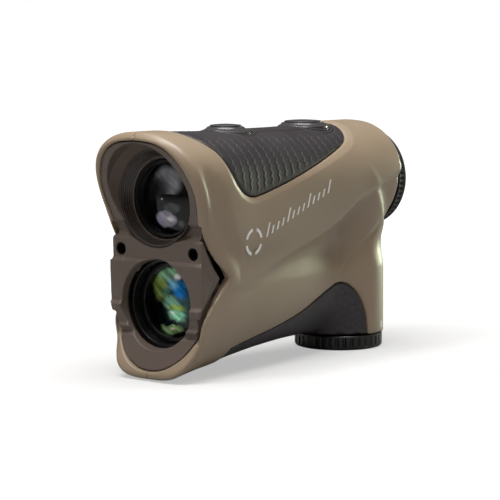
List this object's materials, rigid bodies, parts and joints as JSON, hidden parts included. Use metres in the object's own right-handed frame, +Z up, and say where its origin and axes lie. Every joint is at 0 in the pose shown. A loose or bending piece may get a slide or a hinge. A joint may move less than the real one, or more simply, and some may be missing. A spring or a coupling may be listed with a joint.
{
  "type": "laser rangefinder",
  "caption": "Hand-held laser rangefinder with stacked front lenses, top buttons, eyepiece and screw-capped battery tube.",
  "frame": {"origin": "centre of the overall length and width, on the plane the device stands on: the battery cap's underside", "axes": "+X to the user's left, -Y the way the lenses face, +Y towards the eyepiece, +Z up"},
  "size_m": [0.0394, 0.1092, 0.0711],
  "materials": {
    "tan_shell": "satin moulded shell, tan",
    "bezel_plastic": "matte moulded front bezel",
    "grip_rubber": "soft rubber with a moulded scale texture",
    "eyecup_rubber": "soft black rubber",
    "seal_rubber": "black sealing rubber",
    "key_plastic": "dark satin plastic with bright bevels",
    "black_plastic": "black moulded plastic",
    "black_aluminium": "black anodised and turned",
    "coated_glass": "lens glass with a coloured coating",
    "optical_glass": "clear polished glass",
    "steel": "plain steel",
    "brass": "turned brass, gilt contacts",
    "circuit_board": "green board and amber film",
    "component_black": "black components",
    "battery_sleeve": "printed sleeve around a steel can"
  },
  "bodies": {
    "housing": {"left_housing": "tan_shell", "right_housing": "tan_shell", "front_bezel": "bezel_plastic", "top_grip_pad": "grip_rubber", "lower_grip": "grip_rubber", "objective_o_ring": "seal_rubber", "front_button_surround": "key_plastic", "rear_button_surround": "key_plastic", "receiver_tube": "black_plastic", "eyepiece_barrel": "black_plastic", "display_frame": "black_plastic", "battery_tube": "black_plastic", "objective_tube": "black_aluminium", "objective_retaining_ring": "black_aluminium", "objective_spacer": "black_aluminium", "receiver_retaining_ring": "black_aluminium", "prism_holder": "black_aluminium", "thread_insert": "black_aluminium", "objective_lens": "coated_glass", "receiver_lens": "coated_glass", "objective_rear_lens": "optical_glass", "roof_prism": "optical_glass", "beam_splitter_prism": "optical_glass", "display_panel": "optical_glass", "bezel_screw_left": "steel", "bezel_screw_right": "steel", "housing_screw_1": "steel", "housing_screw_2": "steel", "housing_screw_3": "steel", "housing_screw_4": "steel", "detector": "steel", "laser_collimator": "brass", "laser_diode": "brass", "positive_contact": "brass", "button_board": "circuit_board", "receiver_board": "circuit_board", "main_board": "circuit_board", "flex_cable": "circuit_board", "front_switch": "component_black", "rear_switch": "component_black", "processor_chip": "component_black", "boost_coil": "component_black"},
    "front_button": {"front_button": "key_plastic"},
    "rear_button": {"rear_button": "key_plastic"},
    "diopter": {"diopter_ring": "black_plastic", "eyecup": "eyecup_rubber"},
    "ocular": {"ocular_cell": "black_aluminium", "ocular_field_lens": "optical_glass", "ocular_eye_lens": "optical_glass"},
    "battery": {"battery": "battery_sleeve"},
    "battery_cap": {"battery_cap": "black_plastic", "cap_contact": "steel", "cap_o_ring": "seal_rubber", "contact_spring": "steel"}
  },
  "joints": [
    {"name": "front_press", "type": "slide", "parent": "housing", "child": "front_button", "axis": [0, 0, -1], "range_m": [0, 0.0008], "stiffness_N_per_m": 400},
    {"name": "rear_press", "type": "slide", "parent": "housing", "child": "rear_button", "axis": [0, 0, -1], "range_m": [0, 0.0008], "stiffness_N_per_m": 400},
    {"name": "diopter_turn", "type": "hinge", "parent": "housing", "child": "diopter", "pos_m": [0, 0.0504, 0.0522], "axis": [0, 1, 0], "range_deg": [-120, 120]},
    {"name": "ocular_travel", "type": "slide", "parent": "housing", "child": "ocular", "axis": [0, 1, 0], "range_m": [-0.0007, 0.0007]},
    {"name": "battery_drop", "type": "slide", "parent": "housing", "child": "battery", "axis": [0, 0, -1], "range_m": [0, 0.00526]},
    {"name": "cap_turn", "type": "hinge", "parent": "battery", "child": "battery_cap", "pos_m": [0, 0.0398, 0], "axis": [0, 0, -1], "range_deg": [0, 1260]}
  ],
  "couplings": [
    {"joint": "battery_drop", "follows": "cap_turn", "m_per_rad": 0.00023873},
    {"joint": "ocular_travel", "follows": "diopter_turn", "m_per_rad": 0.00033389}
  ]
}
